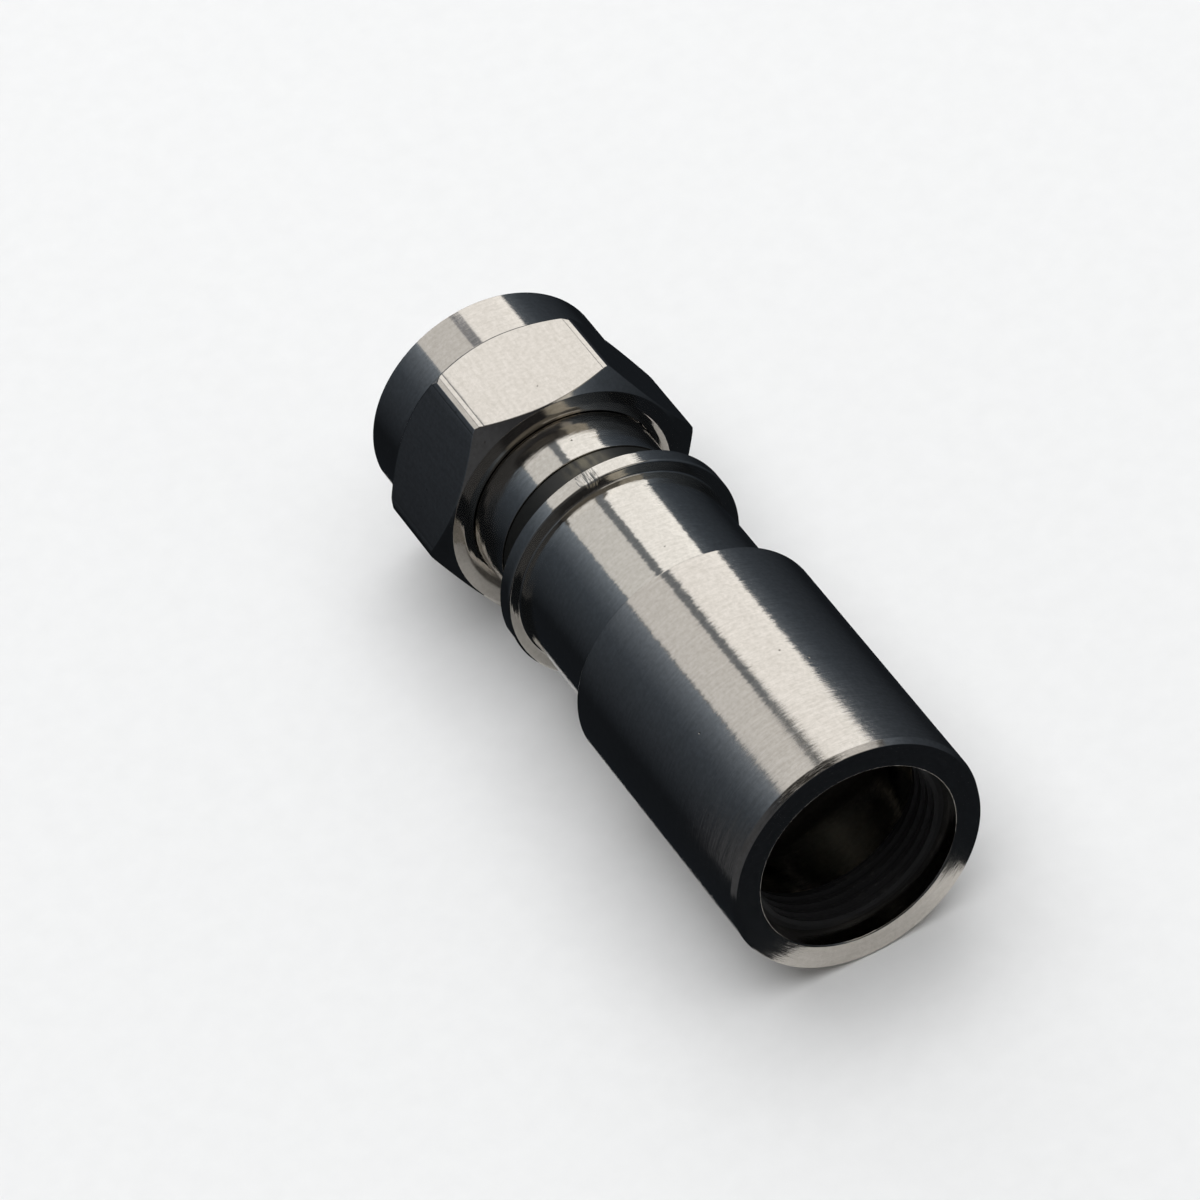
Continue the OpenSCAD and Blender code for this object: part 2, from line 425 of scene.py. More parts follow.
def nickel_plate(name, width, depth, seed, dullness, sway=0.0, drawn=False,
                 shades=("#CAC4BB", "#DBD5CD"), coarse_after=100.0):
    """Bright nickel over machined brass. The cutter's marks show through it as fine rings round
    the axis, or on drawn bar as streaks along it, and it mottles and pits a little. The real
    marks are finer than a pixel, and are drawn just wide enough to show. Sizes are in mm."""
    material, tree, shader, place = new_material(name)
    shader.inputs["Metallic"].default_value = 1.0
    in_mm = add_node(tree, "ShaderNodeMapping",
                     values={"Location": (0, 0, -axis_height), "Scale": (1 / MM, 1 / MM, 1 / MM)},
                     links={"Vector": place})
    part = add_node(tree, "ShaderNodeSeparateXYZ", links={"Vector": in_mm.outputs["Vector"]})
    spoke = add_node(tree, "ShaderNodeCombineXYZ",
                     links={"Y": part.outputs["Y"], "Z": part.outputs["Z"]})
    radius = add_node(tree, "ShaderNodeVectorMath", {"operation": "LENGTH"},
                      links={0: spoke.outputs["Vector"]})
    # Marks run round cylinders and round faces alike, so they follow the station and a share
    # of the radius.
    face_share = 0.0 if drawn else 0.73
    feed = add_node(tree, "ShaderNodeMath", {"operation": "MULTIPLY_ADD"}, {1: face_share},
                    {0: radius.outputs["Value"], 2: part.outputs["X"]})
    turned_to = add_node(tree, "ShaderNodeCombineXYZ",
                         links={"X": feed.outputs["Value"], "Y": part.outputs["Y"],
                                "Z": part.outputs["Z"]})
    # A mark is ten times as long as it is wide, and slow waves five marks wide lie under them.
    short, long = 1 / width, 0.1 / width
    marks_at = add_node(tree, "ShaderNodeMapping",
                        values={"Location": (seed, seed, seed),
                                "Scale": (long, short, short) if drawn else (short, long, long)},
                        links={"Vector": turned_to.outputs["Vector"]})
    marks = add_node(tree, "ShaderNodeTexNoise",
                     values={"Scale": 1.0, "Detail": 2, "Roughness": 0.6},
                     links={"Vector": marks_at.outputs["Vector"]})
    waves = add_node(tree, "ShaderNodeTexNoise", values={"Scale": 0.18, "Detail": 1},
                     links={"Vector": marks_at.outputs["Vector"]})
    both = add_node(tree, "ShaderNodeMath", {"operation": "MULTIPLY_ADD"}, {1: 1.5},
                    {0: waves.outputs["Fac"], 2: marks.outputs["Fac"]})
    # Past a place along the row's X, in mm, the marks grow coarser over 3 mm. The default place
    # lies beyond the object.
    coarse_whole, coarsest = coarse_after + 3.0, 1.55
    coarser = add_node(tree, "ShaderNodeMapRange", {"interpolation_type": "SMOOTHSTEP"},
                       {"From Min": coarse_after, "From Max": coarse_whole,
                        "To Min": 1.0, "To Max": coarsest},
                       {"Value": part.outputs["X"]})
    height = add_node(tree, "ShaderNodeMath", {"operation": "MULTIPLY"},
                      links={0: both.outputs["Value"], 1: coarser.outputs["Result"]})
    relief = add_node(tree, "ShaderNodeBump", values={"Strength": 1.0, "Distance": depth * MM},
                      links={"Height": height.outputs["Value"]})
    pits, surface = with_pits(tree, in_mm, relief.outputs["Normal"])
    if not drawn:
        surface = with_chatter(tree, spoke, turned_to, surface, seed, sway)
    tree.links.new(surface, shader.inputs["Normal"])
    # The plate is mottled in blotches of about 0.2 mm, a little glossier here and duller there.
    mottle = add_node(tree, "ShaderNodeTexNoise",
                      values={"Scale": 5.0, "Detail": 5, "Roughness": 0.65},
                      links={"Vector": in_mm.outputs["Vector"]})
    dull = add_node(tree, "ShaderNodeMapRange",
                    values={"From Min": noise_low, "From Max": noise_high,
                            "To Min": dullness - 0.02, "To Max": dullness + 0.02},
                    links={"Value": mottle.outputs["Fac"]})
    duller = add_node(tree, "ShaderNodeMath", {"operation": "MULTIPLY"},
                      links={0: dull.outputs["Result"], 1: coarser.outputs["Result"]})
    tree.links.new(duller.outputs["Value"], shader.inputs["Roughness"])
    # Faint lighter and darker streaks lie along the marks, stronger where the marks are coarse.
    streaks = add_node(tree, "ShaderNodeTexNoise",
                       values={"Scale": 0.55, "Detail": 3, "Roughness": 0.6},
                       links={"Vector": marks_at.outputs["Vector"]})
    centred = add_node(tree, "ShaderNodeMapRange", {"clamp": False},
                       {"From Min": noise_low, "From Max": noise_high,
                        "To Min": -0.1, "To Max": 0.1},
                       {"Value": streaks.outputs["Fac"]})
    stronger = add_node(tree, "ShaderNodeMath", {"operation": "MULTIPLY"},
                        links={0: centred.outputs["Result"], 1: coarser.outputs["Result"]})
    blend = add_node(tree, "ShaderNodeMath", {"operation": "ADD"},
                     links={0: mottle.outputs["Fac"], 1: stronger.outputs["Value"]})
    colour = add_node(tree, "ShaderNodeValToRGB", links={"Fac": blend.outputs["Value"]})
    set_shades(colour, [(noise_low, shades[0]), (noise_high, shades[1])])
    # The pits are a little darker, in a greyish brown. Inputs 6 and 7 of a Mix node, and output 2,
    # are its colours.
    pit_darkening = add_node(tree, "ShaderNodeMath", {"operation": "MULTIPLY"}, {1: 0.6}, {0: pits})
    darker_in_pits = add_node(tree, "ShaderNodeMix", {"data_type": "RGBA"}, {7: linear("#6B6254")},
                       {0: pit_darkening.outputs["Value"], 6: colour.outputs["Color"]})
    tree.links.new(darker_in_pits.outputs[2], shader.inputs["Base Color"])
    return material


# The nut and the sleeve take the darker default shades of nickel, a painted shade against the body's
# paler nickel, which dims their bright bands.
collar_nickel = nickel_plate("nickel_on_turned_brass", width=0.06, depth=0.0018, seed=3.0,
                             dullness=0.085, sway=0.001)
bar_nickel = nickel_plate("nickel_on_drawn_hexagon_bar", width=0.09, depth=0.002, seed=11.0,
                          dullness=0.11, drawn=True)

flat_radius = 11.11 / 2
corner_radius = flat_radius / math.cos(math.pi / 6)
half_flat = corner_radius / 2
collar_radius = 5.50
mouth_radius = 4.80
bore_radius = 4.76
front_edge = 0.06
hexagon_front = 2.50
lip_front = 5.45
lip_back = 6.20
lip_radius = 3.50
rear_hole = 4.44
nut_back = 7.64
back_radius = 5.48
back_chamfer = 0.66
corner_easing = 0.13

# The hexagon's section, as columns (distance from the axis, angle round it). The die that drew the
# bar rolled each flat off a little beside its corners: it falls away at a slope of roll from
# roll_start, and would meet the next flat at edge. The die also left thin lines there, each with
# its place across the flat, its half width and its depth.
roll = 0.21
roll_start = half_flat - 0.23
edge = (half_flat + roll * math.tan(math.pi / 6) * roll_start) / (1 + roll * math.tan(math.pi / 6))
rolled_corner = (flat_radius - roll * (edge - roll_start)) / math.cos(math.pi / 6)
half_bend = math.pi / 6 - math.atan(roll)
flat_end = edge - corner_easing * math.tan(half_bend) * math.cos(math.atan(roll))
die_lines = (
    (-half_flat + 0.41, 0.05, 0.004),
    (half_flat - 0.28, 0.07, 0.012),
)
# Points across a flat, close together where it bends and where a line lies
across_flat = [-flat_end + 2 * flat_end * n / 24 for n in range(25)]
across_flat += [hand * (roll_start + 0.02 * n) for hand in (-1, 1) for n in (-1, 0, 1, 2)]
for line, half_width, deep in die_lines:
    across_flat = [u for u in across_flat if abs(u - line) > half_width + 0.015]
    across_flat += [line + half_width * n / 3 for n in range(-3, 4)]
columns = []
for k in range(6):
    turn = k * math.pi / 3
    for u in sorted(across_flat):
        sunk = roll * max(0.0, abs(u) - roll_start)
        for line, half_width, deep in die_lines:
            sunk += deep * max(0.0, 1 - abs(u - line) / half_width)
        columns.append((math.hypot(flat_radius - sunk, u), turn + math.atan2(u, flat_radius - sunk)))
    easing_centre = rolled_corner - corner_easing / math.cos(half_bend)
    for n in range(-2, 3):
        bend = half_bend * n / 3
        x = easing_centre + corner_easing * math.cos(bend)
        y = corner_easing * math.sin(bend)
        columns.append((math.hypot(x, y), turn + math.pi / 6 + math.atan2(y, x)))

# Wear has rounded the tips of the corners a little more at the front.
wear = 0.18
wear_start = 6.24
wear_reach = 0.12
lines = []
for reach, angle in columns:
    worn_off = wear * max(0.0, (reach - wear_start) / wear_reach) ** 2
    chamfer_end = hexagon_front + (reach - flat_radius) + worn_off
    steepness = back_chamfer / (corner_radius - back_radius)
    back_start = nut_back - back_chamfer + (corner_radius - reach) * steepness
    outline = eased([
        (0.0, mouth_radius, 0.03),
        (0.0, collar_radius - front_edge, 0.02),
        (front_edge, collar_radius, 0.03),
        (hexagon_front + collar_radius - flat_radius, collar_radius, 0.03),
        (chamfer_end - 0.025, reach - 0.025, 0.01),
        (chamfer_end + 0.045, reach, 0.03),
        (back_start, reach, 0.07),
        (nut_back, back_radius, 0.05),
        (nut_back, rear_hole + 0.46, 0.50),
        (nut_back - 0.055, rear_hole + 0.22, 0.60),
        (nut_back - 0.125, rear_hole + 0.015, 0.03),
        (nut_back - 0.15, rear_hole, 0.01),
        (lip_back, rear_hole, 0.03),
        (lip_back, lip_radius, 0.04),
        (lip_front, lip_radius, 0.04),
        (lip_front, bore_radius, 0.03),
        (front_edge, bore_radius, 0.02),
    ])
    lines.append([on_axis(p.x, p.y, angle) for p in outline])
nut = into_object("hexagon_nut", [list(ring) for ring in zip(*lines)], collar_nickel)

# The flats keep the finish of the drawn bar between the turned chamfers.
nut.data.materials.append(bar_nickel)
for face in nut.data.polygons:
    station = face.center.x / MM + half_length
    reach = math.hypot(face.center.y, face.center.z - axis_height * MM) / MM
    between_chamfers = hexagon_front < station < nut_back - 0.05
    if between_chamfers and reach > flat_radius - 0.03 and abs(face.normal.x) < 0.3:
        face.material_index = 1
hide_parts("coupling_nut")
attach(nut, "nut")


# Nut thread
# The 3/8-32 thread inside the nut is cut with a tap: a ridge of 60 degrees that winds inwards
# at 0.79 mm a turn, and fades out at the mouth and at the relief behind it.
thread_sizes = {
    "Pitch": 0.794 * MM,
    "Turns": 4.55,
    "Root radius": 4.78 * MM,
    "Crest radius": 4.34 * MM,
    "Start station": 0.32 * MM,
}
foot_share = 0.88
crest_share = 0.22
fade_share = 0.11
thinnest = 0.06


def new_tree(name, sizes, counts=()):
    """A tree of Geometry Nodes and its input node, with named sizes, counts and a finish."""
    tree = bpy.data.node_groups.new(name, "GeometryNodeTree")
    tree.interface.new_socket("Geometry", in_out="OUTPUT", socket_type="NodeSocketGeometry")
    for label in sizes:
        tree.interface.new_socket(label, in_out="INPUT", socket_type="NodeSocketFloat")
    for label in counts:
        tree.interface.new_socket(label, in_out="INPUT", socket_type="NodeSocketInt")
    tree.interface.new_socket("Finish", in_out="INPUT", socket_type="NodeSocketMaterial")
    return tree, add_node(tree, "NodeGroupInput")


def end_tree(tree, given, geometry):
    """The end of a tree: real geometry, with the given finish."""
    real = add_node(tree, "GeometryNodeRealizeInstances", links={"Geometry": geometry})
    coated = add_node(tree, "GeometryNodeSetMaterial",
                      links={"Geometry": real.outputs["Geometry"],
                             "Material": given.outputs["Finish"]})
    add_node(tree, "NodeGroupOutput", links={0: coated.outputs["Geometry"]})


def made_by(tree, name, inputs):
    """A piece from a tree of Geometry Nodes and the values of its named inputs."""
    blank = bpy.data.objects.new(name + "_tree", bpy.data.meshes.new(name + "_tree"))
    bpy.context.scene.collection.objects.link(blank)
    maker = blank.modifiers.new("maker", "NODES")
    maker.node_group = tree
    for item in tree.interface.items_tree:
        if item.in_out == "INPUT":
            maker[item.identifier] = inputs[item.name]
    seen = blank.evaluated_get(bpy.context.evaluated_depsgraph_get())
    mesh = bpy.data.meshes.new_from_object(seen)
    blank.modifiers.clear()
    bpy.data.objects.remove(blank)
    return finished(name, mesh)


# The thread's path is a spiral at its root.
tree, given = new_tree("tapped_thread", thread_sizes)
rise = add_node(tree, "ShaderNodeMath", {"operation": "MULTIPLY"},
                links={0: given.outputs["Pitch"], 1: given.outputs["Turns"]})
spiral = add_node(tree, "GeometryNodeCurveSpiral", values={"Resolution": 120},
                  links={"Rotations": given.outputs["Turns"],
                         "Start Radius": given.outputs["Root radius"],
                         "End Radius": given.outputs["Root radius"],
                         "Height": rise.outputs["Value"]})
upright_curve = add_node(tree, "GeometryNodeSetCurveNormal", {"mode": "Z_UP"},
                         links={"Curve": spiral.outputs["Curve"]})
# Its ridge has its full size but for a share of the path at either end, where it thins out.
along = add_node(tree, "GeometryNodeSplineParameter")
from_end = add_node(tree, "ShaderNodeMath", {"operation": "PINGPONG"}, {1: 0.5},
                    {0: along.outputs["Factor"]})
full = add_node(tree, "ShaderNodeMapRange",
                values={"From Min": 0.0, "From Max": fade_share, "To Min": thinnest, "To Max": 1.0},
                links={"Value": from_end.outputs["Value"]})
# Its section is a trapezoid on the root, with the crest towards the axis.
depth = add_node(tree, "ShaderNodeMath", {"operation": "SUBTRACT"},
                 links={0: given.outputs["Root radius"], 1: given.outputs["Crest radius"]})
foot_width = add_node(tree, "ShaderNodeMath", {"operation": "MULTIPLY"}, {1: foot_share},
                      {0: given.outputs["Pitch"]})
crest_width = add_node(tree, "ShaderNodeMath", {"operation": "MULTIPLY"}, {1: crest_share},
                       {0: given.outputs["Pitch"]})
section = add_node(tree, "GeometryNodeCurvePrimitiveQuadrilateral", {"mode": "TRAPEZOID"},
                   {"Offset": 0.0},
                   {"Height": depth.outputs["Value"], "Bottom Width": foot_width.outputs["Value"],
                    "Top Width": crest_width.outputs["Value"]})
half_depth = add_node(tree, "ShaderNodeMath", {"operation": "MULTIPLY"}, {1: 0.5},
                      {0: depth.outputs["Value"]})
lift = add_node(tree, "ShaderNodeCombineXYZ", links={"X": half_depth.outputs["Value"]})
seated = add_node(tree, "GeometryNodeTransform", values={"Rotation": (0, 0, math.radians(-90))},
                  links={"Geometry": section.outputs["Curve"], "Translation": lift.outputs["Vector"]})
ridge = add_node(tree, "GeometryNodeCurveToMesh", values={"Fill Caps": True},
                 links={"Curve": upright_curve.outputs["Curve"],
                        "Profile Curve": seated.outputs["Geometry"],
                        "Scale": full.outputs["Result"]})
# The spiral rises along Z, and is laid down along the connector's axis.
start = add_node(tree, "ShaderNodeMath", {"operation": "SUBTRACT"}, {1: half_length * MM},
                 {0: given.outputs["Start station"]})
shift = add_node(tree, "ShaderNodeCombineXYZ", values={"Z": axis_height * MM},
                 links={"X": start.outputs["Value"]})
laid = add_node(tree, "GeometryNodeTransform", values={"Rotation": (0, math.radians(90), 0)},
                links={"Geometry": ridge.outputs["Mesh"], "Translation": shift.outputs["Vector"]})
end_tree(tree, given, laid.outputs["Geometry"])

thread = made_by(tree, "nut_thread", {**thread_sizes, "Finish": collar_nickel})
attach(thread, "nut")


# Centre post
# A thin turned tube of tinned brass: its flange sits in the nut, its shank is pressed into the
# body, and its barbed tail stands free inside the barrel.
post_bore = 2.45
post_front = 4.45
flange_rim = 4.20
flange_behind = 5.35
shank_radius = 3.35
shank_back = 11.90
tail_front = 12.40
tail_radius = 2.75
tail_back = 24.50
around_axis = 192


def turned(name, corners, material):
    """A ring turned about the axis from its eased outline."""
    rings = [
        [on_axis(p.x, p.y, 2 * math.pi * k / around_axis) for k in range(around_axis)]
        for p in eased(corners)
    ]
    return into_object(name, rings, material)


# Tin plate on turned brass: greyer and duller than nickel, cloudy, with faint rings round it.
tin_plate, tree, shader, place = new_material("tin_on_turned_brass")
shader.inputs["Metallic"].default_value = 1.0
ring_at = add_node(tree, "ShaderNodeMapping", values={"Scale": (6 / MM, 0.15 / MM, 0.15 / MM)},
                   links={"Vector": place})
rings = add_node(tree, "ShaderNodeTexNoise", values={"Scale": 1.6, "Detail": 4},
                 links={"Vector": ring_at.outputs["Vector"]})
cloud = add_node(tree, "ShaderNodeTexNoise", values={"Scale": 2.5 / MM, "Detail": 4},
                 links={"Vector": place})
relief = add_node(tree, "ShaderNodeBump", values={"Distance": 0.002 * MM},
                  links={"Height": rings.outputs["Fac"]})
tree.links.new(relief.outputs["Normal"], shader.inputs["Normal"])
dull = add_node(tree, "ShaderNodeMapRange",
                values={"From Min": noise_low, "From Max": noise_high,
                        "To Min": 0.28, "To Max": 0.42},
                links={"Value": cloud.outputs["Fac"]})
tree.links.new(dull.outputs["Result"], shader.inputs["Roughness"])
colour = add_node(tree, "ShaderNodeValToRGB", links={"Fac": cloud.outputs["Fac"]})
set_shades(colour, [(noise_low, "#B9B7B1"), (noise_high, "#CAC8C2")])
tree.links.new(colour.outputs["Color"], shader.inputs["Base Color"])

post = turned("tube_post", [
    (post_front, post_bore, 0.10),
    (post_front, flange_rim, 0.08),
    (flange_behind, flange_rim, 0.08),
    (flange_behind, shank_radius, 0.05),
    (shank_back, shank_radius, 0.15),
    (tail_front, tail_radius, 0.15),
    (tail_back - 0.30, tail_radius, 0.10),
    (tail_back, tail_radius - 0.18, 0.03),
    (tail_back, post_bore, 0.03),
], tin_plate)
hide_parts("center_post")
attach(post, "body")

# The barbs on its tail are one small saw-tooth ridge, turned three times.
turned_ridges, given = new_tree(
    "row_of_turned_ridges",
    ("Radius", "Rise", "Length", "Crest", "Sink", "Spacing", "First end"), ("Count",),
)
tree = turned_ridges
circle = add_node(tree, "GeometryNodeCurvePrimitiveCircle", values={"Resolution": around_axis},
                  links={"Radius": given.outputs["Radius"]})
# A ridge's section runs from two feet, sunk a little into the tube, to its crest.
under = add_node(tree, "ShaderNodeMath", {"operation": "MULTIPLY"}, {1: -1.0},
                 {0: given.outputs["Sink"]})
land = add_node(tree, "ShaderNodeMath", {"operation": "SUBTRACT"}, {1: 0.02 * MM},
                {0: given.outputs["Crest"]})
rear_foot = add_node(tree, "ShaderNodeCombineXYZ", links={"X": under.outputs["Value"]})
front_foot = add_node(tree, "ShaderNodeCombineXYZ",
                      links={"X": under.outputs["Value"], "Y": given.outputs["Length"]})
front_top = add_node(tree, "ShaderNodeCombineXYZ",
                     links={"X": given.outputs["Rise"], "Y": given.outputs["Crest"]})
rear_top = add_node(tree, "ShaderNodeCombineXYZ",
                    links={"X": given.outputs["Rise"], "Y": land.outputs["Value"]})
section = add_node(tree, "GeometryNodeCurvePrimitiveQuadrilateral", {"mode": "POINTS"},
                   links={"Point 1": rear_foot.outputs["Vector"],
                          "Point 2": front_foot.outputs["Vector"],
                          "Point 3": front_top.outputs["Vector"],
                          "Point 4": rear_top.outputs["Vector"]})
ring = add_node(tree, "GeometryNodeCurveToMesh",
                links={"Curve": circle.outputs["Curve"], "Profile Curve": section.outputs["Curve"]})
# One ridge is turned onto the axis and repeated along it.
coaxial = add_node(tree, "GeometryNodeTransform", values={"Rotation": (0, math.radians(90), 0)},
                   links={"Geometry": ring.outputs["Mesh"]})
begin = add_node(tree, "ShaderNodeCombineXYZ", values={"Z": axis_height * MM},
                 links={"X": given.outputs["First end"]})
step = add_node(tree, "ShaderNodeCombineXYZ", links={"X": given.outputs["Spacing"]})
row = add_node(tree, "GeometryNodeMeshLine",
               links={"Count": given.outputs["Count"], "Start Location": begin.outputs["Vector"],
                      "Offset": step.outputs["Vector"]})
many = add_node(tree, "GeometryNodeInstanceOnPoints",
                links={"Points": row.outputs["Mesh"], "Instance": coaxial.outputs["Geometry"]})
end_tree(tree, given, many.outputs["Instances"])

barbs = made_by(turned_ridges, "post_barbs", {
    "Radius": tail_radius * MM, "Rise": 0.30 * MM, "Length": 0.90 * MM, "Crest": 0.90 * MM,
    "Sink": 0.01 * MM, "Count": 3, "Spacing": 1.50 * MM, "First end": along_row(21.42),
    "Finish": tin_plate,
})
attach(barbs, "body")


# Connector body
# Turned from round brass bar in one piece: neck, groove, flange and a thin barrel. It is nickel
# plated, and pressed onto the shank of the post.
neck_front = 7.15
neck_radius = 4.37
neck_swell = 0.042
groove_front = 10.00
groove_radius = 3.85
flange_front = 11.98
flange_back = 12.76
flange_radius = 5.47
barrel_radius = 4.84
barrel_swell = 0.072
barrel_bore = 4.20
barrel_back = 23.04
lead_in = 0.25
# The body's nickel is painted a shade paler than the nut's and the sleeve's, as painted light, which
# brightens its bright bands.
body_nickel = nickel_plate("nickel_on_finely_turned_brass", width=0.06, depth=0.003, seed=23.0,
                           dullness=0.09, sway=0.017, shades=("#CEC9C0", "#DFDAD2"))


def near_point(tree, place, point, outside, whole):
    """A share that grows from 0, at one distance from a point, to 1 at a smaller distance."""
    off = add_node(tree, "ShaderNodeVectorMath", {"operation": "DISTANCE"}, {1: point}, {0: place})
    near = add_node(tree, "ShaderNodeMapRange", {"interpolation_type": "SMOOTHSTEP"},
                    {"From Min": outside * MM, "From Max": whole * MM, "To Min": 0.0, "To Max": 1.0},
                    {"Value": off.outputs["Value"]})
    return near.outputs["Result"]


# The flange's rim has taken a knock, which left a few short dents along the axis.
tree = body_nickel.node_tree
shader = tree.nodes["Principled BSDF"]
smooth_normal = shader.inputs["Normal"].links[0].from_socket
place = add_node(tree, "ShaderNodeTexCoord").outputs["Object"]
knock = on_axis(12.40, flange_radius, math.radians(-6.5))
near = near_point(tree, place, knock, outside=0.62, whole=0.10)
dents_at = add_node(tree, "ShaderNodeMapping", values={"Scale": (0.6 / MM, 10 / MM, 0.6 / MM)},
                    links={"Vector": place})
ragged = add_node(tree, "ShaderNodeTexNoise", values={"Scale": 1.0, "Detail": 1},
                  links={"Vector": dents_at.outputs["Vector"]})
level = add_node(tree, "ShaderNodeMath", {"operation": "SUBTRACT"}, {1: 0.5},
                 {0: ragged.outputs["Fac"]})
dents = add_node(tree, "ShaderNodeMath", {"operation": "MULTIPLY"},
                 links={0: near, 1: level.outputs["Value"]})
knocked = add_node(tree, "ShaderNodeBump", {"invert": True}, {"Distance": 0.19 * MM},
                   {"Height": dents.outputs["Value"], "Normal": smooth_normal})
tree.links.new(knocked.outputs["Normal"], shader.inputs["Normal"])

# The neck swells a little under the nut's edge, and the barrel where it meets the flange.
body = turned("turned_body", [
    (neck_front, shank_radius, 0.05),
    (neck_front, neck_radius, 0.12),
    (neck_front + 0.51, neck_radius + neck_swell, 0.30),
    (neck_front + 1.95, neck_radius, 9.00),
    (groove_front, neck_radius, 0.03),
    (groove_front, groove_radius, 0.03),
    (flange_front, groove_radius, 0.03),
    (flange_front, flange_radius, 0.05),
    (flange_back, flange_radius, 0.10),
    (flange_back, barrel_radius + barrel_swell, 0.08),
    (flange_back + 0.58, barrel_radius, 2.10),
    (barrel_back, barrel_radius, 0.12),
    (barrel_back, barrel_bore + lead_in, 0.03),
    (barrel_back - lead_in, barrel_bore, 0.03),
    (tail_front, barrel_bore, 0.10),
    (tail_front, shank_radius, 0.03),
], body_nickel)
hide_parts("connector_body")
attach(body, "body")


# Compression sleeve
# A turned brass tube with an inner lip at its rear end, nickel plated. It slides on the barrel
# until its front edge meets the flange.
sleeve_front = 19.42
sleeve_back = 33.10
sleeve_radius = 5.70
sleeve_bore = 4.90
rear_lip_front = 32.00
rear_lip_radius = 4.47
bevel_front = 32.79
bevel_radius = 5.585
sleeve_nickel = nickel_plate("nickel_on_turned_tube", width=0.06, depth=0.004, seed=37.0,
                             dullness=0.095, sway=0.017, coarse_after=10.5)

# One side of its rear bevel is scuffed, in short strokes round the rim, which are darker where they
# are deepest.
tree = sleeve_nickel.node_tree
shader = tree.nodes["Principled BSDF"]
smooth_normal = shader.inputs["Normal"].links[0].from_socket
clean_colour = shader.inputs["Base Color"].links[0].from_socket
place = add_node(tree, "ShaderNodeTexCoord").outputs["Object"]
spot = add_node(tree, "ShaderNodeSeparateXYZ", links={"Vector": place})
from_rim = add_node(tree, "ShaderNodeMapRange",
                    values={"From Min": along_row(bevel_front - 0.04),
                            "From Max": along_row(bevel_front + 0.02)},
                    links={"Value": spot.outputs["X"]})
to_face = add_node(tree, "ShaderNodeMapRange",
                   values={"From Min": along_row(sleeve_back - 0.005),
                           "From Max": along_row(sleeve_back - 0.04)},
                   links={"Value": spot.outputs["X"]})
bevel = add_node(tree, "ShaderNodeMath", {"operation": "MULTIPLY"},
                 links={0: from_rim.outputs["Result"], 1: to_face.outputs["Result"]})
scuff = on_axis(32.95, 5.62, math.radians(-16))
near = near_point(tree, place, scuff, outside=2.2, whole=0.9)
rubbed_at = add_node(tree, "ShaderNodeMapping", values={"Scale": (11 / MM, 1.3 / MM, 1.3 / MM)},
                     links={"Vector": place})
rubbed = add_node(tree, "ShaderNodeTexNoise", values={"Scale": 1.0, "Detail": 3, "Roughness": 0.7},
                  links={"Vector": rubbed_at.outputs["Vector"]})
share = add_node(tree, "ShaderNodeMath", {"operation": "MULTIPLY"},
                 links={0: bevel.outputs["Value"], 1: near})
scuffed = add_node(tree, "ShaderNodeBump", {"invert": True}, {"Distance": 0.07 * MM},
                   {"Strength": share.outputs["Value"], "Height": rubbed.outputs["Fac"],
                    "Normal": smooth_normal})
tree.links.new(scuffed.outputs["Normal"], shader.inputs["Normal"])
deep_part = add_node(tree, "ShaderNodeMapRange",
                     values={"From Min": 0.35, "From Max": 0.55, "To Min": 0.35, "To Max": 1.0},
                     links={"Value": rubbed.outputs["Fac"]})
scuff_darkening = add_node(tree, "ShaderNodeMath", {"operation": "MULTIPLY"},
                 links={0: share.outputs["Value"], 1: deep_part.outputs["Result"]})
worn = add_node(tree, "ShaderNodeMix", {"data_type": "RGBA"}, {7: linear("#5E5A54")},
                {0: scuff_darkening.outputs["Value"], 6: clean_colour})
tree.links.new(worn.outputs[2], shader.inputs["Base Color"])

sleeve = turned("sliding_sleeve", [
    (sleeve_front, sleeve_bore + lead_in, 0.02),
    (sleeve_front, sleeve_radius, 0.06),
    (bevel_front, sleeve_radius, 0.03),
    (sleeve_back, bevel_radius, 0.04),
    (sleeve_back, rear_lip_radius, 0.07),
    (rear_lip_front, rear_lip_radius, 0.03),
    (rear_lip_front, sleeve_bore, 0.03),
    (sleeve_front + lead_in, sleeve_bore, 0.03),
], sleeve_nickel)
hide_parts("compression_sleeve")
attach(sleeve, "sleeve")


# Grip ring
# A moulded black acetal ring, pushed into the sleeve against its rear lip. When the sleeve is
# driven home the barrel squeezes it, and its saw-tooth ridges bite inwards.
grip_front = 29.80
grip_bore = 4.25

# Moulded acetal: a deep, slightly grey black with a soft gloss, hardly clouded.
acetal, tree, shader, place = new_material("moulded_black_acetal")
shader.inputs["Roughness"].default_value = 0.42
shader.inputs["IOR"].default_value = 1.48
cloud = add_node(tree, "ShaderNodeTexNoise", values={"Scale": 1.2 / MM, "Detail": 3},
                 links={"Vector": place})
colour = add_node(tree, "ShaderNodeValToRGB", links={"Fac": cloud.outputs["Fac"]})
set_shades(colour, [(0, "#1B1B1C"), (1, "#262627")])
tree.links.new(colour.outputs["Color"], shader.inputs["Base Color"])

grip = turned("moulded_grip_ring", [
    (grip_front, sleeve_bore, 0.08),
    (rear_lip_front, sleeve_bore, 0.05),
    (rear_lip_front, grip_bore, 0.03),
    (grip_front, grip_bore, 0.05),
], acetal)
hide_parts("grip_ring")
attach(grip, "sleeve")

ridges = made_by(turned_ridges, "grip_ridges", {
    "Radius": grip_bore * MM, "Rise": -0.15 * MM, "Length": 0.468 * MM, "Crest": 0.083 * MM,
    "Sink": -0.02 * MM, "Count": 4, "Spacing": 0.55 * MM, "First end": along_row(30.35),
    "Finish": acetal,
})
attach(ridges, "sleeve")


# Groove band
# A moulded band of black rubber, stretched over the neck into the groove before the flange,
# where its own tension holds it.
band_front = groove_front + 0.01
band_back = flange_front - 0.04
band_inside = groove_radius + 0.01
band_radius = 4.30

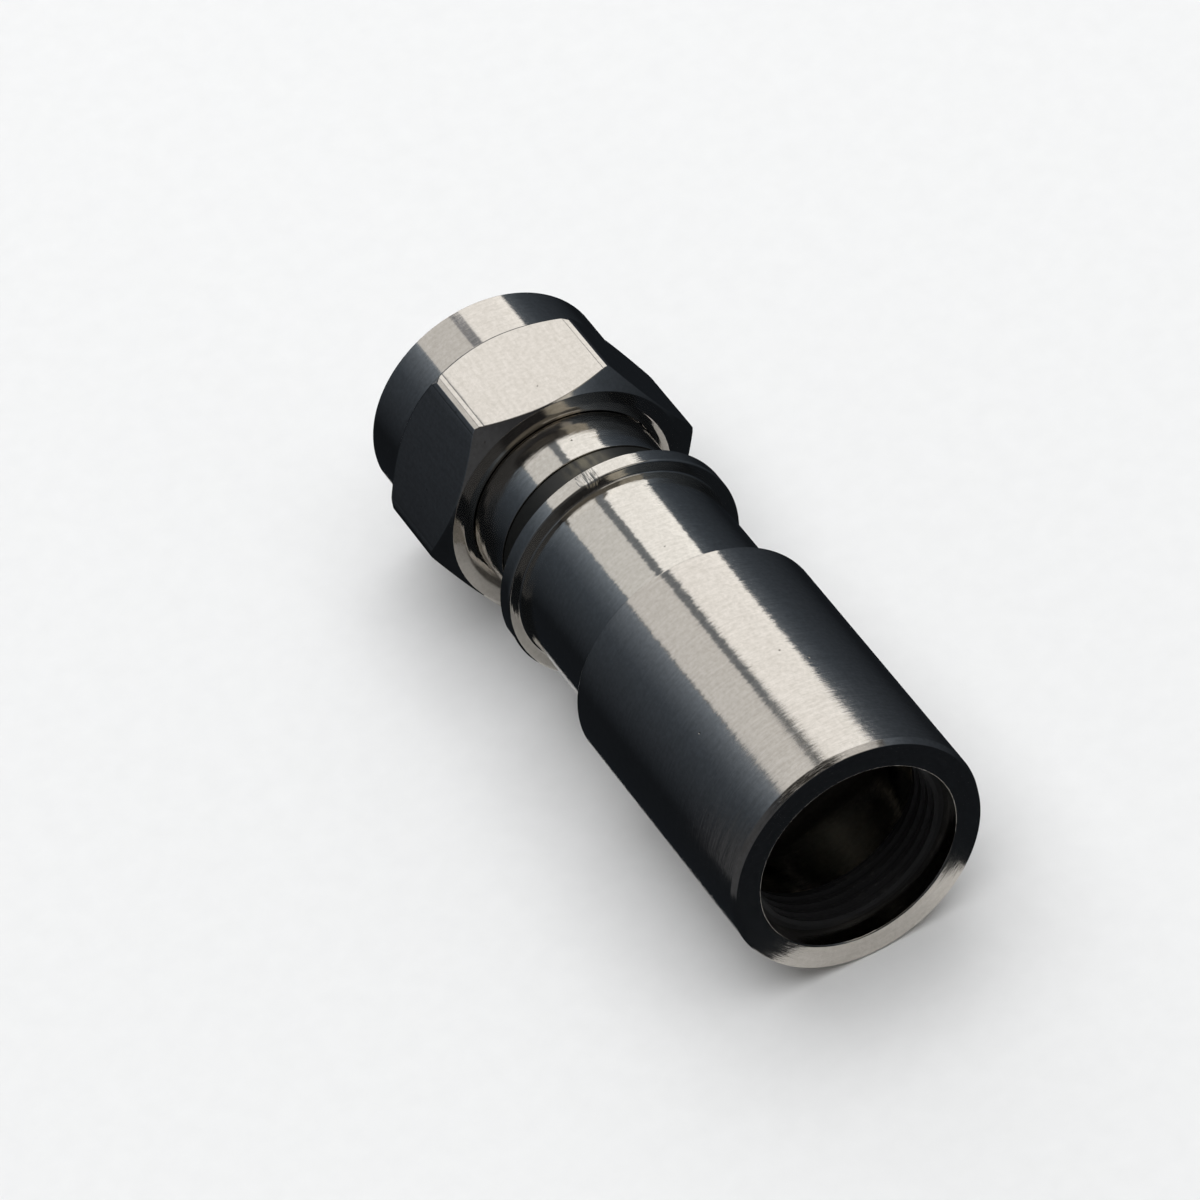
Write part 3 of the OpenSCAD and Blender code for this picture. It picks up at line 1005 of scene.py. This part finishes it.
# Moulded rubber: a warm near-black skin, dull and finely uneven, that takes dust.
rubber, tree, shader, place = new_material("matt_moulded_rubber")
cloud = add_node(tree, "ShaderNodeTexNoise", values={"Scale": 3 / MM, "Detail": 6},
                 links={"Vector": place})
colour = add_node(tree, "ShaderNodeValToRGB", links={"Fac": cloud.outputs["Fac"]})
set_shades(colour, [(0, "#0F0F0E"), (1, "#1A1A17")])
relief = add_node(tree, "ShaderNodeBump", values={"Distance": 0.01 * MM},
                  links={"Height": cloud.outputs["Fac"]})
tree.links.new(relief.outputs["Normal"], shader.inputs["Normal"])
shader.inputs["Roughness"].default_value = 0.40

# A pale patch lies on the top of the band: some dust, and a painted highlight where the band catches
# the light.
highlight_and_dust_middle = on_axis(10.5, band_radius, 0.03)
near = near_point(tree, place, highlight_and_dust_middle, outside=1.5, whole=0.0)
smear_at = add_node(tree, "ShaderNodeMapping", values={"Scale": (1.2 / MM, 2.6 / MM, 1.2 / MM)},
                    links={"Vector": place})
smear = add_node(tree, "ShaderNodeTexNoise", values={"Scale": 1.0, "Detail": 3},
                 links={"Vector": smear_at.outputs["Vector"]})
thick = add_node(tree, "ShaderNodeMapRange", values={"From Min": noise_low, "From Max": 0.65},
                 links={"Value": smear.outputs["Fac"]})
dust_and_highlight = add_node(tree, "ShaderNodeMath", {"operation": "MULTIPLY"},
                links={0: near, 1: thick.outputs["Result"]})
dusty_and_highlit = add_node(tree, "ShaderNodeMix", {"data_type": "RGBA"}, {7: linear("#5A5546")},
                 {0: dust_and_highlight.outputs["Value"], 6: colour.outputs["Color"]})
tree.links.new(dusty_and_highlit.outputs[2], shader.inputs["Base Color"])

band = turned("rubber_groove_band", [
    (band_front, band_inside, 0.03),
    (band_front, band_radius, 0.05),
    (band_back, band_radius, 0.12),
    (band_back, band_inside, 0.05),
], rubber)
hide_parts("groove_band")
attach(band, "body")


# Nut seal ring
# A moulded rubber ring of round section between the nut's lip and the neck, which keeps water
# out. It is pressed a little flat where it lies on the shank and against the neck.
seal_station = 6.75
seal_radius = 3.75
seal_thickness = 0.45
seal_points = 48
section = []
for k in range(seal_points):
    swing = 2 * math.pi * k / seal_points
    station = seal_station + seal_thickness * math.cos(swing)
    radius = seal_radius + seal_thickness * math.sin(swing)
    section.append((min(neck_front - 0.01, station), max(shank_radius + 0.01, radius)))
seal = into_object("rubber_seal_ring", [
    [on_axis(s, r, 2 * math.pi * k / around_axis) for k in range(around_axis)]
    for s, r in section
], rubber)
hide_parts("nut_seal_ring")
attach(seal, "body")
